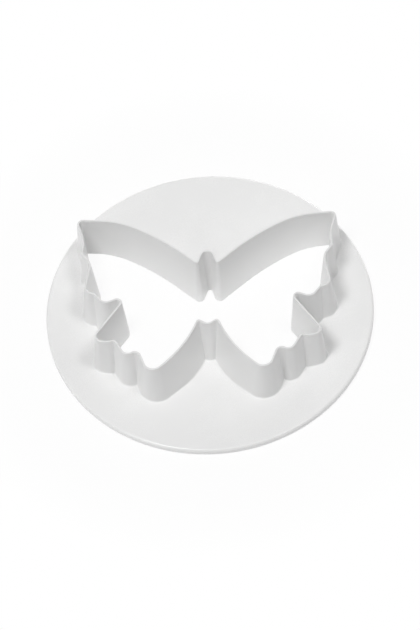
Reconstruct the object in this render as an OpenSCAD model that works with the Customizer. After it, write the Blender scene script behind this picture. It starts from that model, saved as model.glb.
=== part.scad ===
// Butterfly cutter for fondant and sugar paste, moulded in white plastic.
// It stands plate down, with its cutting edge up. The plate's centre is at the
// origin, its underside is at z = 0, and the butterfly's head points along +Y.
// The butterfly is open right through, so that the cut shape can be pushed out.

/* [Press plate] */
// Ring of plate left beyond the wing tips, at its narrowest; the plate is 70 mm across
rim_w = 2.121; // [1.6:0.001:12]
// Thickness of the plate
plate_t = 1.8; // [1.4:0.1:2.6]
// Rounding of the plate's outer edge, above and below
plate_edge_r = 0.6; // [0.2:0.05:0.65]

/* [Butterfly] */
// Width across the two wing tips, measured on the cutting edge's outline
butterfly_w = 55.7; // [48:0.1:58]
// Length from the fore wing tips to the low lobes of the hind wings
butterfly_l = 38; // [34:0.5:42]
// Place of the butterfly's middle along Y, ahead of the plate's centre if positive
butterfly_y = -1.6; // [-3:0.1:2]

/* [Cutting wall] */
// Overall height, from the plate's underside to the cutting edge
total_h = 12.5; // [9:0.5:18]
// How far the inner face leans in over its full height
inner_lean = 1.2; // [0.4:0.05:1.3]
// How far the outer face leans out over its full height
outer_lean = 0.6; // [0.3:0.05:0.8]
// Fillet where the outer face runs into the plate
root_r = 0.4; // [0.2:0.05:0.6]

/* [Cutting lip] */
// Height of the fine lip that carries the cutting edge
lip_h = 1; // [0.5:0.1:2]
// Width of the land on top of the lip, the cutting edge itself
land_w = 0.4; // [0.3:0.05:0.6]
// Rounding of the land's two edges
land_edge_r = 0.08; // [0.04:0.01:0.12]

/* [Hidden] */

// Overrun of a cut past the face that it opens
cut_over = 0.5;
// Least radius of any corner of the outline, at any height
least_corner_r = 0.2;
// Greatest gap between a true arc and the straight facets that stand for it
facet_sag = 0.012;
// Largest angle that one facet of an arc turns through
facet_turn_max = 15;
// Least number of facets of an arc
facet_count_min = 3;
// Number of facets of the root fillet and of each rounded edge of the land
root_facets = 4;
land_facets = 2;
// Facets of the round plate, and of the circle that rounds its edge
plate_facets = 180;
edge_facets = 32;
// Share of an edge that its two corner arcs may take together
arc_fill_share = 0.97;

// The right half of the butterfly, seen from above and walked clockwise from the
// head to the tail. Each row is one corner of the outline before it is rounded:
//   x as a share of half the width, y as a share of the length,
//   corner radius as a share of the length, the same corner's radius at the foot
//   of the inner face, and for the edge that follows the corner, the shares of the
//   inner and of the outer lean that it takes. A foot radius of 0 stands for an
//   arc that stays parallel to the one at the rim.
half_outline_shares = [
    [0.000,  0.267, 0.035, 0.020, 1.45, 1.00], // top of the head
    [0.038,  0.264, 0.036, 0.027, 0.90, 1.00], // side of the head
    [0.076,  0.185, 0.011, 0.028, 1.20, 1.00], // valley beside the head
    [0.340,  0.355, 1.370, 0.000, 0.78, 1.00], // fore wing, slow bend of the front edge
    [0.675,  0.487, 0.500, 0.000, 0.13, 1.00], // fore wing, front edge turns level
    [1.000,  0.502, 0.026, 0.000, 0.65, 1.00], // fore wing tip
    [0.939,  0.360, 0.255, 0.000, 0.80, 1.00], // slow hollow below the tip
    [0.957,  0.279, 0.022, 0.000, 1.05, 1.05], // first lobe
    [0.888,  0.212, 0.090, 0.000, 1.15, 1.40], // hollow under the first lobe
    [0.942,  0.023, 0.041, 0.000, 1.00, 1.95], // second lobe
    [0.862,  0.006, 0.025, 0.000, 1.00, 1.25], // shoulder under the second lobe
    [0.795, -0.061, 0.050, 0.000, 0.92, 1.05], // third lobe
    [0.605, -0.009, 0.023, 0.000, 0.80, 1.20], // notch between fore and hind wing
    [0.886, -0.296, 0.034, 0.000, 1.00, 1.50], // hind wing, outer corner
    [0.762, -0.317, 0.056, 0.000, 1.00, 1.85], // hind wing, swell of its side
    [0.713, -0.304, 0.019, 0.000, 1.00, 1.55], // hind wing, first hollow
    [0.629, -0.410, 0.040, 0.000, 1.00, 1.90], // hind wing, middle lobe
    [0.534, -0.374, 0.033, 0.000, 1.00, 1.80], // hind wing, second hollow
    [0.452, -0.544, 0.057, 0.000, 1.00, 2.55], // hind wing, low lobe
    [0.176, -0.370, 0.785, 0.000, 1.00, 3.20], // hind wing, slow bend of the inner edge
    [0.075, -0.188, 0.014, 0.000, 1.00, 3.40], // corner beside the tail
    [0.000, -0.222, 0.035, 0.000, 1.00, 3.00]  // tip of the tail
];
half_count = len(half_outline_shares);
// The two halves share the corners on the middle line
corner_count = 2 * half_count - 2;

// Corner k of the whole outline is a row of the right half, on the side +1 or -1
function row_of(k) = k < half_count ? k : corner_count - k;
function side_of(k) = k < half_count ? 1 : -1;
function next_of(k) = (k + 1) % corner_count;
function last_of(k) = (k + corner_count - 1) % corner_count;

corner_places = [
    for (k = [0 : corner_count - 1])
        let (row = half_outline_shares[row_of(k)])
        [side_of(k) * row[0] * butterfly_w / 2, row[1] * butterfly_l + butterfly_y]
];
corner_radii = [
    for (k = [0 : corner_count - 1])
        max(least_corner_r, half_outline_shares[row_of(k)][2] * butterfly_l)
];
foot_radii = [
    for (k = [0 : corner_count - 1])
        half_outline_shares[row_of(k)][3] * butterfly_l
];

// The round plate reaches past the farthest corner of the butterfly
plate_r = max([for (place = corner_places) norm(place)]) + rim_w;

// Edge k runs from corner k to the next one; its normal points out of the butterfly
edge_dirs = [
    for (k = [0 : corner_count - 1])
        let (run = corner_places[next_of(k)] - corner_places[k])
        run / norm(run)
];
edge_normals = [for (d = edge_dirs) [-d[1], d[0]]];
inner_shares = [
    for (k = [0 : corner_count - 1])
        half_outline_shares[min(row_of(k), row_of(next_of(k)))][4]
];
outer_shares = [
    for (k = [0 : corner_count - 1])
        half_outline_shares[min(row_of(k), row_of(next_of(k)))][5]
];

// Turn of the outline at each corner, negative where the butterfly bulges out
corner_turns = [
    for (k = [0 : corner_count - 1])
        let (a = edge_dirs[last_of(k)], b = edge_dirs[k])
        atan2(a[0] * b[1] - a[1] * b[0], a * b)
];
facet_counts = [
    for (k = [0 : corner_count - 1])
        let (sag_share = min(1, facet_sag / corner_radii[k]))
        let (step = min(facet_turn_max, 2 * acos(1 - sag_share)))
        max(facet_count_min, ceil(abs(corner_turns[k]) / step))
];

// Where corner k goes when the edges before and after it move out by e1 and e2
function moved_corner(k, e1, e2) =
    let (n1 = edge_normals[last_of(k)], n2 = edge_normals[k])
    let (det = n1[0] * n2[1] - n1[1] * n2[0])
    corner_places[k] + [e1 * n2[1] - e2 * n1[1], n1[0] * e2 - n2[0] * e1] / det;

// Radius that keeps an arc parallel to its own first outline, down to the least one
function moved_radius(k, e1, e2) =
    let (bulge = corner_turns[k] < 0 ? 1 : -1)
    max(least_corner_r, corner_radii[k] + bulge * (e1 + e2) / 2);

function parallel_radii(moves) =
    [for (k = [0 : corner_count - 1]) moved_radius(k, moves[last_of(k)], moves[k])];

// The rounded outline with every edge k moved out by moves[k] and with corner
// radii of wish[k], made smaller where an edge has no room for both its arcs
function outline(moves, wish) =
    let (spots = [for (k = [0 : corner_count - 1]) moved_corner(k, moves[last_of(k)], moves[k])])
    let (taken = [for (k = [0 : corner_count - 1]) wish[k] * tan(abs(corner_turns[k]) / 2)])
    let (fits = [
        for (k = [0 : corner_count - 1])
            let (room = norm(spots[next_of(k)] - spots[k]) * arc_fill_share)
            min(1, room / (taken[k] + taken[next_of(k)]))
    ])
    [
        for (k = [0 : corner_count - 1])
            let (fit = min(fits[last_of(k)], fits[k]))
            let (bulge = corner_turns[k] < 0 ? -1 : 1)
            let (spoke = bulge * wish[k] * fit * edge_normals[last_of(k)])
            let (hub = spots[k] - edge_dirs[last_of(k)] * taken[k] * fit + spoke)
            for (j = [0 : facet_counts[k]])
                let (a = corner_turns[k] * j / facet_counts[k])
                hub - [spoke[0] * cos(a) - spoke[1] * sin(a), spoke[0] * sin(a) + spoke[1] * cos(a)]
    ];

// Radii of the inner face where it has reached a part of its full lean: a corner
// with a foot radius grows towards it, and the others stay parallel
function inner_radii(off, part, moves) =
    let (rim = parallel_radii([for (s = inner_shares) -off]))
    let (parallel = parallel_radii(moves))
    [
        for (k = [0 : corner_count - 1])
            foot_radii[k] > 0 ? rim[k] * (1 - part) + foot_radii[k] * part : parallel[k]
    ];

// Rings of the wall's two faces: off is the plain distance from the edge's centre
// line, and lean is how far the face has leant by there
function inner_ring(off, lean, z) =
    let (moves = [for (s = inner_shares) -off - lean * s])
    let (radii = inner_radii(off, lean / inner_lean, moves))
    [for (p = outline(moves, radii)) [p[0], p[1], z]];
function outer_ring(off, lean, z) =
    let (moves = [for (s = outer_shares) off + lean * s])
    [for (p = outline(moves, parallel_radii(moves))) [p[0], p[1], z]];
function inner_lean_at(z) = inner_lean * (total_h - z) / total_h;
function outer_lean_at(z) = outer_lean * (total_h - z) / (total_h - root_top_z);

root_top_z = plate_t + root_r;
lip_z = total_h - lip_h;
half_land = land_w / 2;
toe_off = half_land + root_r;
flat_off = half_land - land_edge_r;
land_edge_z = total_h - land_edge_r;

// A closed band: rings follow each other round its cross-section, and the last
// one joins the first
module band(rings) {
    ring_count = len(rings);
    point_count = len(rings[0]);
    points = [for (ring = rings) for (p = ring) p];
    faces = [
        for (r = [0 : ring_count - 1])
            let (s = (r + 1) % ring_count)
            for (i = [0 : point_count - 1])
                let (j = (i + 1) % point_count)
                for (face = [
                    [r * point_count + i, r * point_count + j, s * point_count + j],
                    [r * point_count + i, s * point_count + j, s * point_count + i]
                ])
                    face
    ];
    polyhedron(points = points, faces = faces, convexity = 10);
}

// Outline on the plate inside which the wall stands
toe_outline = [for (p = outer_ring(toe_off, outer_lean, plate_t)) [p[0], p[1]]];

module plate_section() {
    corner_x = plate_r - plate_edge_r;
    square([corner_x, plate_t]);
    translate([0, plate_edge_r]) square([plate_r, plate_t - 2 * plate_edge_r]);
    for (y = [plate_edge_r, plate_t - plate_edge_r])
        translate([corner_x, y]) circle(r = plate_edge_r, $fn = edge_facets);
}

module press_plate() {
    color("white")
    difference() {
        rotate_extrude($fn = plate_facets) plate_section();
        translate([0, 0, -cut_over])
            linear_extrude(plate_t + 2 * cut_over) polygon(toe_outline);
    }
}

module cutting_wall() {
    color("white")
    band([
        inner_ring(half_land, inner_lean, 0),
        inner_ring(half_land, inner_lean_at(lip_z), lip_z),
        outer_ring(half_land, outer_lean_at(lip_z), lip_z),
        for (j = [root_facets : -1 : 0])
            let (a = 90 * j / root_facets)
            outer_ring(toe_off - root_r * sin(a), outer_lean, root_top_z - root_r * cos(a)),
        outer_ring(toe_off, outer_lean, 0)
    ]);
}

module cutting_lip() {
    color("white")
    band([
        inner_ring(half_land, inner_lean_at(lip_z), lip_z),
        for (j = [0 : land_facets])
            let (a = 90 * j / land_facets)
            inner_ring(flat_off + land_edge_r * cos(a), 0, land_edge_z + land_edge_r * sin(a)),
        for (j = [land_facets : -1 : 0])
            let (a = 90 * j / land_facets)
            outer_ring(flat_off + land_edge_r * cos(a), 0, land_edge_z + land_edge_r * sin(a)),
        outer_ring(half_land, outer_lean_at(lip_z), lip_z)
    ]);
}

press_plate();
cutting_wall();
cutting_lip();
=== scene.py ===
# %% [markdown]
# # A butterfly cutter for fondant, lit like a catalogue picture
#
# The object is one white plastic moulding: a round press plate, a butterfly-shaped
# wall that stands on it, and the fine lip on top of the wall that does the cutting.
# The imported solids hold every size. This lesson builds the same three shapes again as
# smoother meshes, gives each one the surface that its part of the mould leaves, and
# sets up a white table, soft lamps and the camera.

# %% Load the frame
import math
from collections import namedtuple

import bmesh
import bpy
from mathutils import Matrix, Vector


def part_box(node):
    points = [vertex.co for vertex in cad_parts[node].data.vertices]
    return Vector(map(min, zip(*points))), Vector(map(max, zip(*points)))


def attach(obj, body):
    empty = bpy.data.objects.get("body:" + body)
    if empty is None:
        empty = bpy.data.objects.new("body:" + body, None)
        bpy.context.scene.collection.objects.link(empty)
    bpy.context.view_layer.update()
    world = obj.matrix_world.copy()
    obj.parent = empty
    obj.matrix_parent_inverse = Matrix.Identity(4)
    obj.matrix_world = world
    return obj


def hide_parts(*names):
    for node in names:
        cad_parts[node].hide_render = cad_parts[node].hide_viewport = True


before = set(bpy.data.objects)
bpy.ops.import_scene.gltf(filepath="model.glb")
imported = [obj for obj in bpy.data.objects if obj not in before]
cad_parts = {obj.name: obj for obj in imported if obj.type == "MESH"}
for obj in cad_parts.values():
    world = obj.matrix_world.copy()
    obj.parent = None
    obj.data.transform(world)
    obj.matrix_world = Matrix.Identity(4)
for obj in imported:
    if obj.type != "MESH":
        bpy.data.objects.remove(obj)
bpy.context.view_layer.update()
print("nodes:", sorted(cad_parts))

# %% [markdown]
# ## Sizes
#
# Blender works in metres and a cutter is drawn in millimetres, so one unit value turns
# one into the other. Every size could be typed here, but those that a solid's own box
# shows are read from the frame, so that they can't drift. The others repeat the drawing
# of the cutter.

# %% Sizes of the cutter
MM = 0.001

PLATE_LOW, PLATE_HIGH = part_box("press_plate")
LIP_LOW, LIP_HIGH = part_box("cutting_lip")
PLATE_R = min(PLATE_HIGH.x, PLATE_HIGH.y, -PLATE_LOW.x, -PLATE_LOW.y)
PLATE_T = PLATE_HIGH.z
LIP_Z = LIP_LOW.z
TOTAL_H = LIP_HIGH.z

PLATE_EDGE_R = 0.6 * MM
BUTTERFLY_W = 55.7 * MM
BUTTERFLY_L = 38 * MM
BUTTERFLY_Y = -1.6 * MM
INNER_LEAN = 1.2 * MM
OUTER_LEAN = 0.6 * MM
ROOT_R = 0.4 * MM
LAND_W = 0.4 * MM
LAND_EDGE_R = 0.08 * MM
FOOT_EDGE_R = 0.15 * MM
LEAST_CORNER_R = 0.2 * MM
ARC_FILL_SHARE = 0.97
print(f"plate {PLATE_R / MM:.2f} mm radius, {PLATE_T / MM:.2f} thick, {TOTAL_H / MM:.2f} high")

# %% [markdown]
# ## The butterfly's outline
#
# The wall follows a butterfly with scalloped wings. It could be drawn as a Bezier
# curve, but the wall has sloping faces, and a polygon with rounded corners is easy to
# move outwards edge by edge. Only the right half is written down, clockwise from the
# head to the tail; the left half is its mirror image.
#
# Each row holds the corner's place as shares of half the width and of the length, its
# radius and its radius at the inner face's foot as shares of the length, and how much
# of the wall's inner and outer lean the edge after it takes. A foot radius of 0 stands
# for an arc that simply stays parallel to the one at the rim. The front of the wings
# leans less on the inside, and the tail leans more on the outside, which is how the
# moulding blends into the plate there.

# %% Half of the outline
Corner = namedtuple(
    "Corner", "x_share y_share radius_share foot_share inner_share outer_share"
)
HALF_OUTLINE = [
    Corner(0.000, 0.267, 0.035, 0.020, 1.45, 1.00),  # top of the head
    Corner(0.038, 0.264, 0.036, 0.027, 0.90, 1.00),  # side of the head
    Corner(0.076, 0.185, 0.011, 0.028, 1.20, 1.00),  # valley beside the head
    Corner(0.340, 0.355, 1.370, 0.000, 0.78, 1.00),  # fore wing, slow bend of the front edge
    Corner(0.675, 0.487, 0.500, 0.000, 0.13, 1.00),  # fore wing, front edge turns level
    Corner(1.000, 0.502, 0.026, 0.000, 0.65, 1.00),  # fore wing tip
    Corner(0.939, 0.360, 0.255, 0.000, 0.80, 1.00),  # slow hollow below the tip
    Corner(0.957, 0.279, 0.022, 0.000, 1.05, 1.05),  # first lobe
    Corner(0.888, 0.212, 0.090, 0.000, 1.15, 1.40),  # hollow under the first lobe
    Corner(0.942, 0.023, 0.041, 0.000, 1.00, 1.95),  # second lobe
    Corner(0.862, 0.006, 0.025, 0.000, 1.00, 1.25),  # shoulder under the second lobe
    Corner(0.795, -0.061, 0.050, 0.000, 0.92, 1.05),  # third lobe
    Corner(0.605, -0.009, 0.023, 0.000, 0.80, 1.20),  # notch between fore and hind wing
    Corner(0.886, -0.296, 0.034, 0.000, 1.00, 1.50),  # hind wing, outer corner
    Corner(0.762, -0.317, 0.056, 0.000, 1.00, 1.85),  # hind wing, swell of its side
    Corner(0.713, -0.304, 0.019, 0.000, 1.00, 1.55),  # hind wing, first hollow
    Corner(0.629, -0.410, 0.040, 0.000, 1.00, 1.90),  # hind wing, middle lobe
    Corner(0.534, -0.374, 0.033, 0.000, 1.00, 1.80),  # hind wing, second hollow
    Corner(0.452, -0.544, 0.057, 0.000, 1.00, 2.55),  # hind wing, low lobe
    Corner(0.176, -0.370, 0.785, 0.000, 1.00, 3.20),  # hind wing, slow bend of the inner edge
    Corner(0.075, -0.188, 0.014, 0.000, 1.00, 3.40),  # corner beside the tail
    Corner(0.000, -0.222, 0.035, 0.000, 1.00, 3.00),  # tip of the tail
]

# %% Walk round the whole outline
last_row = len(HALF_OUTLINE) - 1
row_of_corner = list(range(last_row + 1)) + list(range(last_row - 1, 0, -1))
side_of_corner = [1] * (last_row + 1) + [-1] * (last_row - 1)
corner_count = len(row_of_corner)
corners = range(corner_count)
whole_outline = [HALF_OUTLINE[row] for row in row_of_corner]


def after(k):
    """The corner that follows corner k round the outline."""
    return (k + 1) % corner_count


def place_of(corner, side):
    """The corner's place, where side is 1 on the right half and -1 on the left."""
    x = side * corner.x_share * BUTTERFLY_W / 2
    y = corner.y_share * BUTTERFLY_L + BUTTERFLY_Y
    return Vector((x, y))


places = [place_of(corner, side) for corner, side in zip(whole_outline, side_of_corner)]
radii = [max(LEAST_CORNER_R, corner.radius_share * BUTTERFLY_L) for corner in whole_outline]
foot_radii = [corner.foot_share * BUTTERFLY_L for corner in whole_outline]

# An edge on the left half takes the lean of its mirror image.
edge_rows = [min(row_of_corner[k], row_of_corner[after(k)]) for k in corners]
inner_shares = [HALF_OUTLINE[row].inner_share for row in edge_rows]
outer_shares = [HALF_OUTLINE[row].outer_share for row in edge_rows]
edge_dirs = [(places[after(k)] - places[k]).normalized() for k in corners]
edge_normals = [Vector((-d.y, d.x)) for d in edge_dirs]
print(f"{corner_count} corners")

# %% [markdown]
# ## Rounding the corners
#
# Every height of the wall is the same outline with its edges moved outwards or inwards
# by their own amounts. A bevel modifier would round the corners of a finished wall, but
# with one radius from top to bottom. Here each arc stays parallel to the first one, so
# that the wall keeps its thickness round a lobe. An arc is cut into short facets of
# three degrees at most, which is finer than the solids need and looks smooth close up.

# %% Turn and facets of each corner
FACET_TURN = math.radians(3)
LEAST_FACETS = 4


def turn_at(k):
    """The angle the outline turns through at corner k, negative where it bulges."""
    arriving, leaving = edge_dirs[k - 1], edge_dirs[k]
    across = arriving.x * leaving.y - arriving.y * leaving.x
    return math.atan2(across, arriving.dot(leaving))


turns = [turn_at(k) for k in corners]
facet_counts = [max(LEAST_FACETS, math.ceil(abs(turn) / FACET_TURN)) for turn in turns]
print(f"{sum(facet_counts) + corner_count} points on each ring")


# %% The outline with its edges moved
def moved_place(k, move_before, move_after):
    """Where corner k goes when the edges before and after it move outwards."""
    first, second = edge_normals[k - 1], edge_normals[k]
    spread = first.x * second.y - first.y * second.x
    shift_x = move_before * second.y - move_after * first.y
    shift_y = first.x * move_after - second.x * move_before
    return places[k] + Vector((shift_x, shift_y)) / spread


def moved_radius(k, move_before, move_after):
    """The radius that keeps corner k's arc parallel to its first one."""
    bulge = 1 if turns[k] < 0 else -1
    return max(LEAST_CORNER_R, radii[k] + bulge * (move_before + move_after) / 2)


def parallel_radii(moves):
    """The radii that keep every arc parallel to its first one."""
    return [moved_radius(k, moves[k - 1], moves[k]) for k in corners]


def outline(moves, wished):
    """The outline, as 2D points, with edges moved outwards and corners of wished radii."""
    spots = [moved_place(k, moves[k - 1], moves[k]) for k in corners]
    # Two arcs share each edge. Where they need more of it than there is, both shrink.
    taken = [wished[k] * math.tan(abs(turns[k]) / 2) for k in corners]
    rooms = [(spots[after(k)] - spots[k]).length * ARC_FILL_SHARE for k in corners]
    fits = [min(1, rooms[k] / (taken[k] + taken[after(k)])) for k in corners]
    points = []
    for k in corners:
        fit = min(fits[k - 1], fits[k])
        spoke = edge_normals[k - 1] * wished[k] * fit * (-1 if turns[k] < 0 else 1)
        hub = spots[k] - edge_dirs[k - 1] * taken[k] * fit + spoke
        for step in range(facet_counts[k] + 1):
            turned = Matrix.Rotation(turns[k] * step / facet_counts[k], 2) @ spoke
            points.append(hub - turned)
    return points


# %% [markdown]
# ## Rings of the wall
#
# A ring is the outline at one height. The wall grows thicker towards the plate on both
# sides, which lets the moulding slide out of its steel mould. A Solidify modifier would
# thicken a sheet evenly, and this wall isn't even: the plain offset is the same all
# round, and the lean is shared out edge by edge.

# %% Rings at a height
HALF_LAND = LAND_W / 2
ROOT_TOP_Z = PLATE_T + ROOT_R
TOE_OFF = HALF_LAND + ROOT_R
QUARTER_TURN = math.radians(90)


def raised(flat, z):
    """The 2D points as 3D points at height z."""
    return [point.to_3d() + Vector((0, 0, z)) for point in flat]


def inner_ring(offset, lean, z):
    """The inner face's ring at height z; corners with a foot radius grow towards it."""
    moves = [-offset - lean * share for share in inner_shares]
    part = lean / INNER_LEAN
    at_rim = parallel_radii([-offset] * corner_count)
    radii_here = [
        rim * (1 - part) + foot * part if foot else parallel
        for rim, foot, parallel in zip(at_rim, foot_radii, parallel_radii(moves))
    ]
    return raised(outline(moves, radii_here), z)


def outer_ring(offset, lean, z):
    """The outer face's ring at height z."""
    moves = [offset + lean * share for share in outer_shares]
    return raised(outline(moves, parallel_radii(moves)), z)


def inner_lean_at(z):
    """The inner face's lean at height z: none at the land, all of it at the underside."""
    return INNER_LEAN * (TOTAL_H - z) / TOTAL_H


def outer_lean_at(z):
    """The outer face's lean at height z: none at the land, all of it at the fillet."""
    return OUTER_LEAN * (TOTAL_H - z) / (TOTAL_H - ROOT_TOP_Z)


def quarter(steps):
    """The angles of a quarter circle, from 0 to 90 degrees."""
    return [QUARTER_TURN * step / steps for step in range(steps + 1)]


# %% [markdown]
# ## From rings to a mesh
#
# Each piece of the wall is a closed band: rings follow each other round its
# cross-section and the last one joins the first. Booleans could cut the wall from a
# block, but they leave long thin faces that shade badly. Quads between neighbouring
# rings make a mesh with no open edge, which also prints and slices cleanly. Faces are
# smooth, and an edge sharper than thirty degrees stays an edge.

# %% Build a closed band
SHARP = math.radians(30)


def finish_mesh(name, mesh, node):
    """A piece with this closed mesh, which rides on the cutter and stands for its solid."""
    form = bmesh.new()
    form.from_mesh(mesh)
    bmesh.ops.recalc_face_normals(form, faces=form.faces)
    form.to_mesh(mesh)
    form.free()
    mesh.set_sharp_from_angle(angle=SHARP)
    piece = bpy.data.objects.new(name, mesh)
    bpy.context.scene.collection.objects.link(piece)
    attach(piece, "root")
    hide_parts(node)
    print(f"{name}: {len(mesh.vertices)} vertices, {len(mesh.polygons)} faces")
    return piece


def band(name, rings, node):
    """A closed band through the rings, which all have as many points."""
    size = len(rings[0])
    points = [point for ring in rings for point in ring]
    faces = []
    for r in range(len(rings)):
        here, there = r * size, (r + 1) % len(rings) * size
        for i in range(size):
            j = (i + 1) % size
            faces.append((here + i, here + j, there + j, there + i))
    mesh = bpy.data.meshes.new(name)
    mesh.from_pydata(points, [], faces)
    mesh.polygons.foreach_set("use_smooth", [True] * len(faces))
    return finish_mesh(name, mesh, node)


# %% [markdown]
# ## The cutting wall
#
# The wall starts at the underside, where its inner edge is barely rounded, runs up
# through the plate and leans in to the foot of the lip. Outside, a small fillet brings
# it down on to the plate. A bevel could make that fillet, but as rings it follows the
# flare of the low lobes and the tail. Below the plate's top the wall fills the plate's
# opening, so that the two pieces meet with no gap.

# %% Build the cutting wall
WALL_STEPS = 8
ROOT_STEPS = 10
FOOT_STEPS = 4


def foot_edge(angle):
    """A ring of the foot's inner edge: 0 degrees is the underside, 90 the inner face."""
    z = FOOT_EDGE_R * (1 - math.cos(angle))
    return inner_ring(HALF_LAND - FOOT_EDGE_R * (1 - math.sin(angle)), inner_lean_at(z), z)


def root_fillet(angle):
    """A ring of the fillet at the root: 0 degrees is the plate, 90 the outer face."""
    offset = TOE_OFF - ROOT_R * math.sin(angle)
    return outer_ring(offset, OUTER_LEAN, ROOT_TOP_Z - ROOT_R * math.cos(angle))


inner_heights = [
    FOOT_EDGE_R + (LIP_Z - FOOT_EDGE_R) * step / WALL_STEPS for step in range(WALL_STEPS + 1)
]
outer_heights = [
    ROOT_TOP_Z + (LIP_Z - ROOT_TOP_Z) * step / WALL_STEPS for step in range(WALL_STEPS, 0, -1)
]
wall_rings = [foot_edge(angle) for angle in quarter(FOOT_STEPS)[:-1]]
wall_rings += [inner_ring(HALF_LAND, inner_lean_at(z), z) for z in inner_heights]
wall_rings += [outer_ring(HALF_LAND, outer_lean_at(z), z) for z in outer_heights]
wall_rings += [root_fillet(angle) for angle in reversed(quarter(ROOT_STEPS))]
wall_rings.append(outer_ring(TOE_OFF, OUTER_LEAN, 0))
cutting_wall = band("butterfly_wall", wall_rings, "cutting_wall")

# %% [markdown]
# ## The cutting lip
#
# The last millimetre carries on with the same slopes and ends in a flat land less than
# half a millimetre wide. It could be the top of the wall's own mesh, but as a piece of
# its own it gets its own finish. Its two edges are a little rounded, as plastic never
# fills a sharp corner of the mould, and those roundings are what catches the light.

# %% Build the cutting lip
LAND_STEPS = 5


def land_edge(ring, angle):
    """A ring of one of the land's rounded edges: 0 degrees is the face, 90 the land."""
    offset = HALF_LAND - LAND_EDGE_R + LAND_EDGE_R * math.cos(angle)
    return ring(offset, 0, TOTAL_H - LAND_EDGE_R + LAND_EDGE_R * math.sin(angle))


lip_rings = [inner_ring(HALF_LAND, inner_lean_at(LIP_Z), LIP_Z)]
lip_rings += [land_edge(inner_ring, angle) for angle in quarter(LAND_STEPS)]
lip_rings += [land_edge(outer_ring, angle) for angle in reversed(quarter(LAND_STEPS))]
lip_rings.append(outer_ring(HALF_LAND, outer_lean_at(LIP_Z), LIP_Z))
cutting_lip = band("butterfly_lip", lip_rings, "cutting_lip")

# %% [markdown]
# ## The press plate
#
# The plate is a disc with a rounded rim and a hole that the wall's foot fills. The hole
# could be cut out of a cylinder with a boolean, but built from the wall's own ring it
# meets the wall point for point. The rim is a stack of circles. The two flat faces have
# a round border outside and the butterfly inside, which Blender's triangle fill closes
# in one go. Those faces stay flat shaded, so that no rounding leaks its shading over
# the flat plastic.

# %% Circles of the rim
RIM_FACETS = 360
RIM_STEPS = 8


def circle(radius, z):
    """A level circle about the middle of the plate."""
    steps = [2 * math.pi * step / RIM_FACETS for step in range(RIM_FACETS)]
    return [Vector((radius * math.cos(a), radius * math.sin(a), z)) for a in steps]


def plate_rim():
    """The circles of the rim, from the top face round to the underside."""
    core = PLATE_R - PLATE_EDGE_R
    upper = [
        circle(core + PLATE_EDGE_R * math.sin(a), PLATE_T - PLATE_EDGE_R * (1 - math.cos(a)))
        for a in quarter(RIM_STEPS)
    ]
    lower = [
        circle(core + PLATE_EDGE_R * math.cos(a), PLATE_EDGE_R * (1 - math.sin(a)))
        for a in quarter(RIM_STEPS)
    ]
    return upper + lower


# %% Faces between two loops
def join_loops(form, first, second):
    """A strip of smooth quads between two loops of as many vertices."""
    for i in range(len(first)):
        j = (i + 1) % len(first)
        form.faces.new((first[i], first[j], second[j], second[i])).smooth = True


def fill_between(form, border, hole):
    """Flat triangles between a closed border and the closed hole inside it."""
    edges = [
        form.edges.get((loop[i - 1], loop[i]))
        for loop in (border, hole)
        for i in range(len(loop))
    ]
    bmesh.ops.triangle_fill(form, use_beauty=True, use_dissolve=False, edges=edges)


# %% Build the press plate
def round_plate():
    """The plate: its rim, the side of its hole, its top face and its underside."""
    form = bmesh.new()
    hole_rings = [outer_ring(TOE_OFF, OUTER_LEAN, z) for z in (PLATE_T, 0)]
    rim = [[form.verts.new(point) for point in ring] for ring in plate_rim()]
    hole = [[form.verts.new(point) for point in ring] for ring in hole_rings]
    for upper, lower in zip(rim, rim[1:]):
        join_loops(form, upper, lower)
    join_loops(form, *hole)
    fill_between(form, rim[0], hole[0])
    fill_between(form, rim[-1], hole[1])
    mesh = bpy.data.meshes.new("round_plate")
    form.to_mesh(mesh)
    form.free()
    return finish_mesh("round_plate", mesh, "press_plate")


press_plate = round_plate()

# %% [markdown]
# ## Shader sums in plain Python
#
# Materials here are node graphs. They could be wired by hand in the shader editor, but
# a graph is easier to read as a sum. A Signal wraps one output socket, and its operators
# add Math nodes. A Finish is the graph of one material or of the sky, with one method
# that makes any other node: its type, its settings, and the values or links of its
# sockets.


# %% Signals
class Signal:
    """What one output socket gives, such as a number that varies over a surface."""

    def __init__(self, finish, socket):
        self.finish = finish
        self.socket = socket

    def math(self, operation, *values):
        """The signal of a Math node that works on these values."""
        sockets = dict(enumerate(values))
        return self.finish.node("ShaderNodeMath", {"operation": operation}, sockets).signal(0)

    def __add__(self, other):
        return self.math("ADD", self, other)

    def __sub__(self, other):
        return self.math("SUBTRACT", self, other)

    def __rsub__(self, other):
        return self.math("SUBTRACT", other, self)

    def __mul__(self, other):
        return self.math("MULTIPLY", self, other)

    def __truediv__(self, other):
        return self.math("DIVIDE", self, other)

    __radd__ = __add__
    __rmul__ = __mul__

    def clamped(self):
        """The signal held between 0 and 1."""
        return self.math("MAXIMUM", self.math("MINIMUM", self, 1), 0)


class Made:
    """A node that was made, for reaching its outputs."""

    def __init__(self, finish, node):
        self.finish = finish
        self.node = node

    def signal(self, output):
        """The signal of one output, found by its name or number."""
        return Signal(self.finish, self.node.outputs[output])


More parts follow.
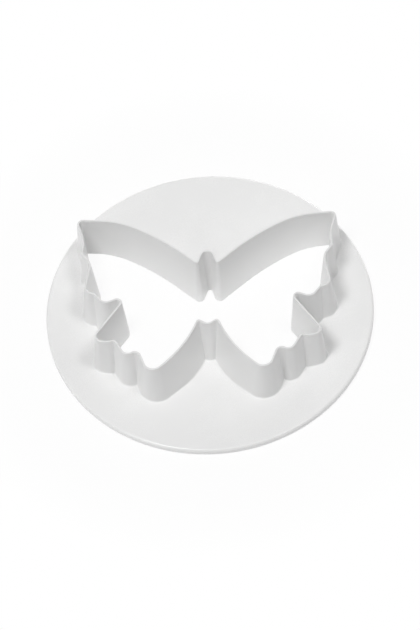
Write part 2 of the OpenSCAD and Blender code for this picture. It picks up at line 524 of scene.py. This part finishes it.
# %% Finishes
class Finish:
    """The node graph of a material or of the sky, under construction."""

    def __init__(self, owner):
        owner.use_nodes = True
        self.tree = owner.node_tree
        self.tree.nodes.clear()

    def node(self, kind, settings=None, sockets=None):
        """A new node of a kind, with its settings and the values or links of its sockets."""
        node = self.tree.nodes.new(kind)
        for name, value in (settings or {}).items():
            setattr(node, name, value)
        for name, value in (sockets or {}).items():
            if isinstance(value, Signal):
                self.tree.links.new(value.socket, node.inputs[name])
            else:
                node.inputs[name].default_value = value
        return Made(self, node)

    def mixed(self, share, first, second):
        """The first shader, giving way to the second as the share goes from 0 to 1."""
        sockets = {0: share, 1: first, 2: second}
        return self.node("ShaderNodeMixShader", {}, sockets).signal("Shader")

    def show(self, shader, output="ShaderNodeOutputMaterial"):
        """Sends a shader to the graph's output."""
        self.node(output, {}, {"Surface": shader})


# %% [markdown]
# ## White moulded plastic
#
# Up close the plastic isn't one flat white. The steel leaves a fine satin grain, the
# melt leaves slow clouds of slightly different gloss, and the wall shows faint upright
# lines where it was drawn off its core. White plastic also lets a little light through,
# and that light is painted in as shade: the wall's colour is painted a shade greyer
# towards its top, and the land on the lip one shade more. The rest is roughness and a
# bump of a thousandth or two of a millimetre.
# Painted pictures could hold all this, but noise that nodes work out needs no file and
# stays sharp at any distance.

# %% Colour of the plastic
WHITE = 0.87
CLOUD_TINT = 0.02
WARMTH = 0.003
# Painted shade: the wall's colour darkens by this much towards its top.
TOP_PAINTED_SHADE = 0.025
# Painted shade: the land on the lip darkens by this much more.
LAND_PAINTED_SHADE = 0.06
MIDDLE = 0.5


def rise(value, low, high):
    """How far a value is on its way from low to high, from 0 to 1."""
    return ((value - low) / (high - low)).clamped()


def plastic_colour(finish, place, slow):
    """Nearly neutral white, with painted shade towards the wall's top and on the land."""
    height = finish.node("ShaderNodeSeparateXYZ", {}, {"Vector": place}).signal("Z")
    # Painted shade grows from 0 at the plate's top to 1 at the top of the wall.
    towards_top = rise(height, PLATE_T, TOTAL_H)
    # Painted shade on the land: 0 below its rounded edges, 1 on the land itself.
    on_land = rise(height, TOTAL_H - LAND_EDGE_R, TOTAL_H)
    tone = WHITE + (slow - MIDDLE) * CLOUD_TINT - towards_top * TOP_PAINTED_SHADE - on_land * LAND_PAINTED_SHADE
    return finish.node(
        "ShaderNodeCombineColor",
        {"mode": "RGB"},
        {"Red": tone, "Green": tone, "Blue": tone - WARMTH},
    ).signal("Color")


# %% Clouds, grain and draw lines
SLOW_CLOUD = 14 * MM
FINE_GRAIN = 0.16 * MM
DRAW_LINE = 0.35 * MM
LINE_SQUEEZE = 0.04
CLOUD_DETAIL = 2.0
GRAIN_DETAIL = 3.0
LINE_DETAIL = 1.0


def cloud(finish, place, size, detail):
    """Noise from 0 to 1 whose features are about this size."""
    texture = finish.node(
        "ShaderNodeTexNoise",
        {"noise_dimensions": "3D"},
        {"Vector": place, "Scale": 1 / size, "Detail": detail},
    )
    return texture.signal("Fac")


# %% Mix the plastic
CLOUD_GLOSS = 0.12
GRAIN_GLOSS = 0.10
BUMP_DEPTH = 0.01 * MM
BUMP_STRENGTH = 0.15
PLASTIC_IOR = 1.49

Surface = namedtuple("Surface", "name roughness line_share")
SATIN_PLATE = Surface("satin_plate", 0.27, 0.0)
DRAWN_WALL = Surface("drawn_wall", 0.32, 0.6)
POLISHED_LIP = Surface("polished_lip", 0.30, 0.3)


def moulded_plastic(surface):
    """White plastic of a mean roughness; line_share says how much its draw lines show."""
    material = bpy.data.materials.new(surface.name)
    finish = Finish(material)
    place = finish.node("ShaderNodeTexCoord").signal("Object")
    slow = cloud(finish, place, SLOW_CLOUD, CLOUD_DETAIL)
    grain = cloud(finish, place, FINE_GRAIN, GRAIN_DETAIL)
    stretched = finish.node(
        "ShaderNodeVectorMath",
        {"operation": "MULTIPLY"},
        {0: place, 1: (1, 1, LINE_SQUEEZE)},
    ).signal("Vector")
    lines = cloud(finish, stretched, DRAW_LINE, LINE_DETAIL)
    uneven = (slow - MIDDLE) * CLOUD_GLOSS
    rough = surface.roughness + uneven + (grain - MIDDLE) * GRAIN_GLOSS
    relief = grain * (1 - surface.line_share) + lines * surface.line_share
    bumped = finish.node(
        "ShaderNodeBump",
        {},
        {"Height": relief, "Strength": BUMP_STRENGTH, "Distance": BUMP_DEPTH},
    ).signal("Normal")
    shader = finish.node(
        "ShaderNodeBsdfPrincipled",
        {},
        {
            "Base Color": plastic_colour(finish, place, slow),
            "Roughness": rough.clamped(),
            "Normal": bumped,
            "IOR": PLASTIC_IOR,
        },
    ).signal("BSDF")
    finish.show(shader)
    print(f"{surface.name}: {len(finish.tree.nodes)} nodes")
    return material


press_plate.data.materials.append(moulded_plastic(SATIN_PLATE))
cutting_wall.data.materials.append(moulded_plastic(DRAWN_WALL))
cutting_lip.data.materials.append(moulded_plastic(POLISHED_LIP))

# %% [markdown]
# ## A white table
#
# Catalogue pictures stand small things on a white sheet. To the lamps the sheet is
# plain white paper that bounces light back up, and a few centimetres out it gives way
# to a greyer table, which is why the top of the wall is a shade darker than its foot.
# More lamps would also turn the table white, but they would bleach the plastic. So to
# the camera most of it is painted with a plain white that needs no lamp. Near the
# cutter the rest is the lit paper, so that the cutter keeps a faint shadow. The sheet
# lies a hair below the plate, because two faces in one plane show as stripes.

# %% The paper's finish
SHEET_R = 40 * MM
TABLE_R = 60 * MM
SHEET_WHITE = 0.97
TABLE_WHITE = 0.75
PAINTED_SHARE = 0.9
PAINT_LIGHT = 1.0


def seen_directly(finish):
    """1 where a surface is seen by the camera, in a reflection or through glass."""
    path = finish.node("ShaderNodeLightPath")
    seen = path.signal("Is Camera Ray") + path.signal("Is Glossy Ray")
    return (seen + path.signal("Is Transmission Ray")).clamped()


def matte(finish, white):
    """A matte shader of this whiteness."""
    colour = (white, white, white, 1)
    return finish.node("ShaderNodeBsdfDiffuse", {}, {"Color": colour}).signal("BSDF")


def white_paper():
    """A white sheet on a greyer table, mostly painted white for the camera."""
    material = bpy.data.materials.new("white_paper")
    finish = Finish(material)
    place = finish.node("ShaderNodeTexCoord").signal("Object")
    length = finish.node("ShaderNodeVectorMath", {"operation": "LENGTH"}, {0: place})
    far = rise(length.signal("Value"), SHEET_R, TABLE_R)
    lit = finish.mixed(far, matte(finish, SHEET_WHITE), matte(finish, TABLE_WHITE))
    paint = finish.node("ShaderNodeEmission", {}, {"Strength": PAINT_LIGHT}).signal("Emission")
    painted = PAINTED_SHARE + far * (1 - PAINTED_SHARE)
    finish.show(finish.mixed(seen_directly(finish) * painted, lit, paint))
    return material


# %% Lay the table
TABLE_SIZE = 3.0
TABLE_DROP = 0.02 * MM

table_mesh = bpy.data.meshes.new("table")
half = TABLE_SIZE / 2
table_corners = [(-half, -half), (half, -half), (half, half), (-half, half)]
table_mesh.from_pydata([(x, y, -TABLE_DROP) for x, y in table_corners], [], [(0, 1, 2, 3)])
table_mesh.materials.append(white_paper())
table = bpy.data.objects.new("table", table_mesh)
bpy.context.scene.collection.objects.link(table)
print(f"table {TABLE_SIZE:.1f} m wide, {TABLE_DROP / MM:.2f} mm below the plate")

# %% [markdown]
# ## Lamps and sky
#
# The picture's light comes from high above, a little from the front and the left, with
# a weaker lamp on the right, so the walls shade the plate in soft, narrow bands. Four
# wide, low lamps all round lift the outer faces, and white walls do the rest, which
# the sky stands for. One picture of a studio could light it all, but lamps with names
# can be tried one at a time. A lamp is placed by its bearing, clockwise from the
# butterfly's head, and by its height above the table, and it faces the cutter.

# %% Hang the lamps
LAMP_DISTANCE = 0.9
Lamp = namedtuple("Lamp", "name bearing height width watts")
LAMPS = [
    Lamp("key_lamp", 225, 70, 0.22, 3.2),
    Lamp("fill_lamp", 112, 70, 0.22, 1.56),
    Lamp("front_lamp", 225, 35, 0.5, 0.96),
    Lamp("right_lamp", 90, 35, 0.5, 0.52),
    Lamp("back_lamp", 16, 12, 0.5, 2.8),
    Lamp("left_lamp", 270, 12, 0.5, 0.76),
]


def direction(bearing, height):
    """The unit vector towards a bearing, clockwise from +Y, and a height, in degrees."""
    b, h = math.radians(bearing), math.radians(height)
    return Vector((math.sin(b) * math.cos(h), math.cos(b) * math.cos(h), math.sin(h)))


def hang_lamp(lamp):
    """Hangs a round lamp that faces the cutter."""
    light = bpy.data.lights.new(lamp.name, "AREA")
    light.shape = "DISK"
    light.size = lamp.width
    light.energy = lamp.watts
    item = bpy.data.objects.new(lamp.name, light)
    towards = direction(lamp.bearing, lamp.height)
    item.location = towards * LAMP_DISTANCE
    item.rotation_euler = towards.to_track_quat("Z", "Y").to_euler()
    bpy.context.scene.collection.objects.link(item)


for lamp in LAMPS:
    hang_lamp(lamp)
print(f"{len(LAMPS)} lamps, {sum(lamp.watts for lamp in LAMPS):.2f} W in all")

# %% White walls all round
SKY_LIGHT = 0.22


def white_walls():
    """A sky that shows white to the camera and lights the cutter a little."""
    sky = bpy.data.worlds.new("white_walls")
    finish = Finish(sky)
    seen = seen_directly(finish)
    strength = seen + (1 - seen) * SKY_LIGHT
    backdrop = finish.node("ShaderNodeBackground", {}, {"Strength": strength})
    finish.show(backdrop.signal("Background"), "ShaderNodeOutputWorld")
    return sky


bpy.context.scene.world = white_walls()
print(f"sky: {bpy.context.scene.world.name}, lighting at {SKY_LIGHT}")

# %% [markdown]
# ## The camera
#
# The cutter was photographed from the front and well above, with a long lens from far
# away, so that its plate is almost a perfect ellipse. The camera is tipped a little,
# which is why the butterfly's left wing sits lower than the right one. Set by eye, such
# a view is easily a degree or two out, so the angles were found by fitting the plate's
# edge and the butterfly's rim.

# %% The camera
VIEW_BEARING = 4.0
VIEW_HEIGHT = 57.09
VIEW_ROLL = -5.4
VIEW_DISTANCE = 1.5678
VIEW_RIGHT = -0.06 * MM
VIEW_UP = 0.23 * MM
LENS = 419.3
CLIP_END = 20

swing, lift, roll = (math.radians(a) for a in (VIEW_BEARING, VIEW_HEIGHT, VIEW_ROLL))
back = Vector(
    (math.sin(swing) * math.cos(lift), -math.cos(swing) * math.cos(lift), math.sin(lift))
)
level = Vector((math.cos(swing), math.sin(swing), 0))
steep = back.cross(level)
right = level * math.cos(roll) + steep * math.sin(roll)
up = steep * math.cos(roll) - level * math.sin(roll)

camera_data = bpy.data.cameras.new("camera")
camera_data.sensor_fit = "AUTO"
camera_data.lens = LENS
camera_data.clip_end = CLIP_END
camera = bpy.data.objects.new("camera", camera_data)
bpy.context.scene.collection.objects.link(camera)
pose = Matrix((right, up, back)).transposed().to_4x4()
pose.translation = back * VIEW_DISTANCE + right * VIEW_RIGHT + up * VIEW_UP
camera.matrix_world = pose
bpy.context.scene.camera = camera
bpy.context.scene.view_settings.view_transform = "Standard"
print("camera at", [round(value, 3) for value in camera.location])

# %% [markdown]
# ## The last update
#
# The view layer is brought up to date once more, so that every piece stands where it
# was put.

# %% Bring the view layer up to date
bpy.context.view_layer.update()
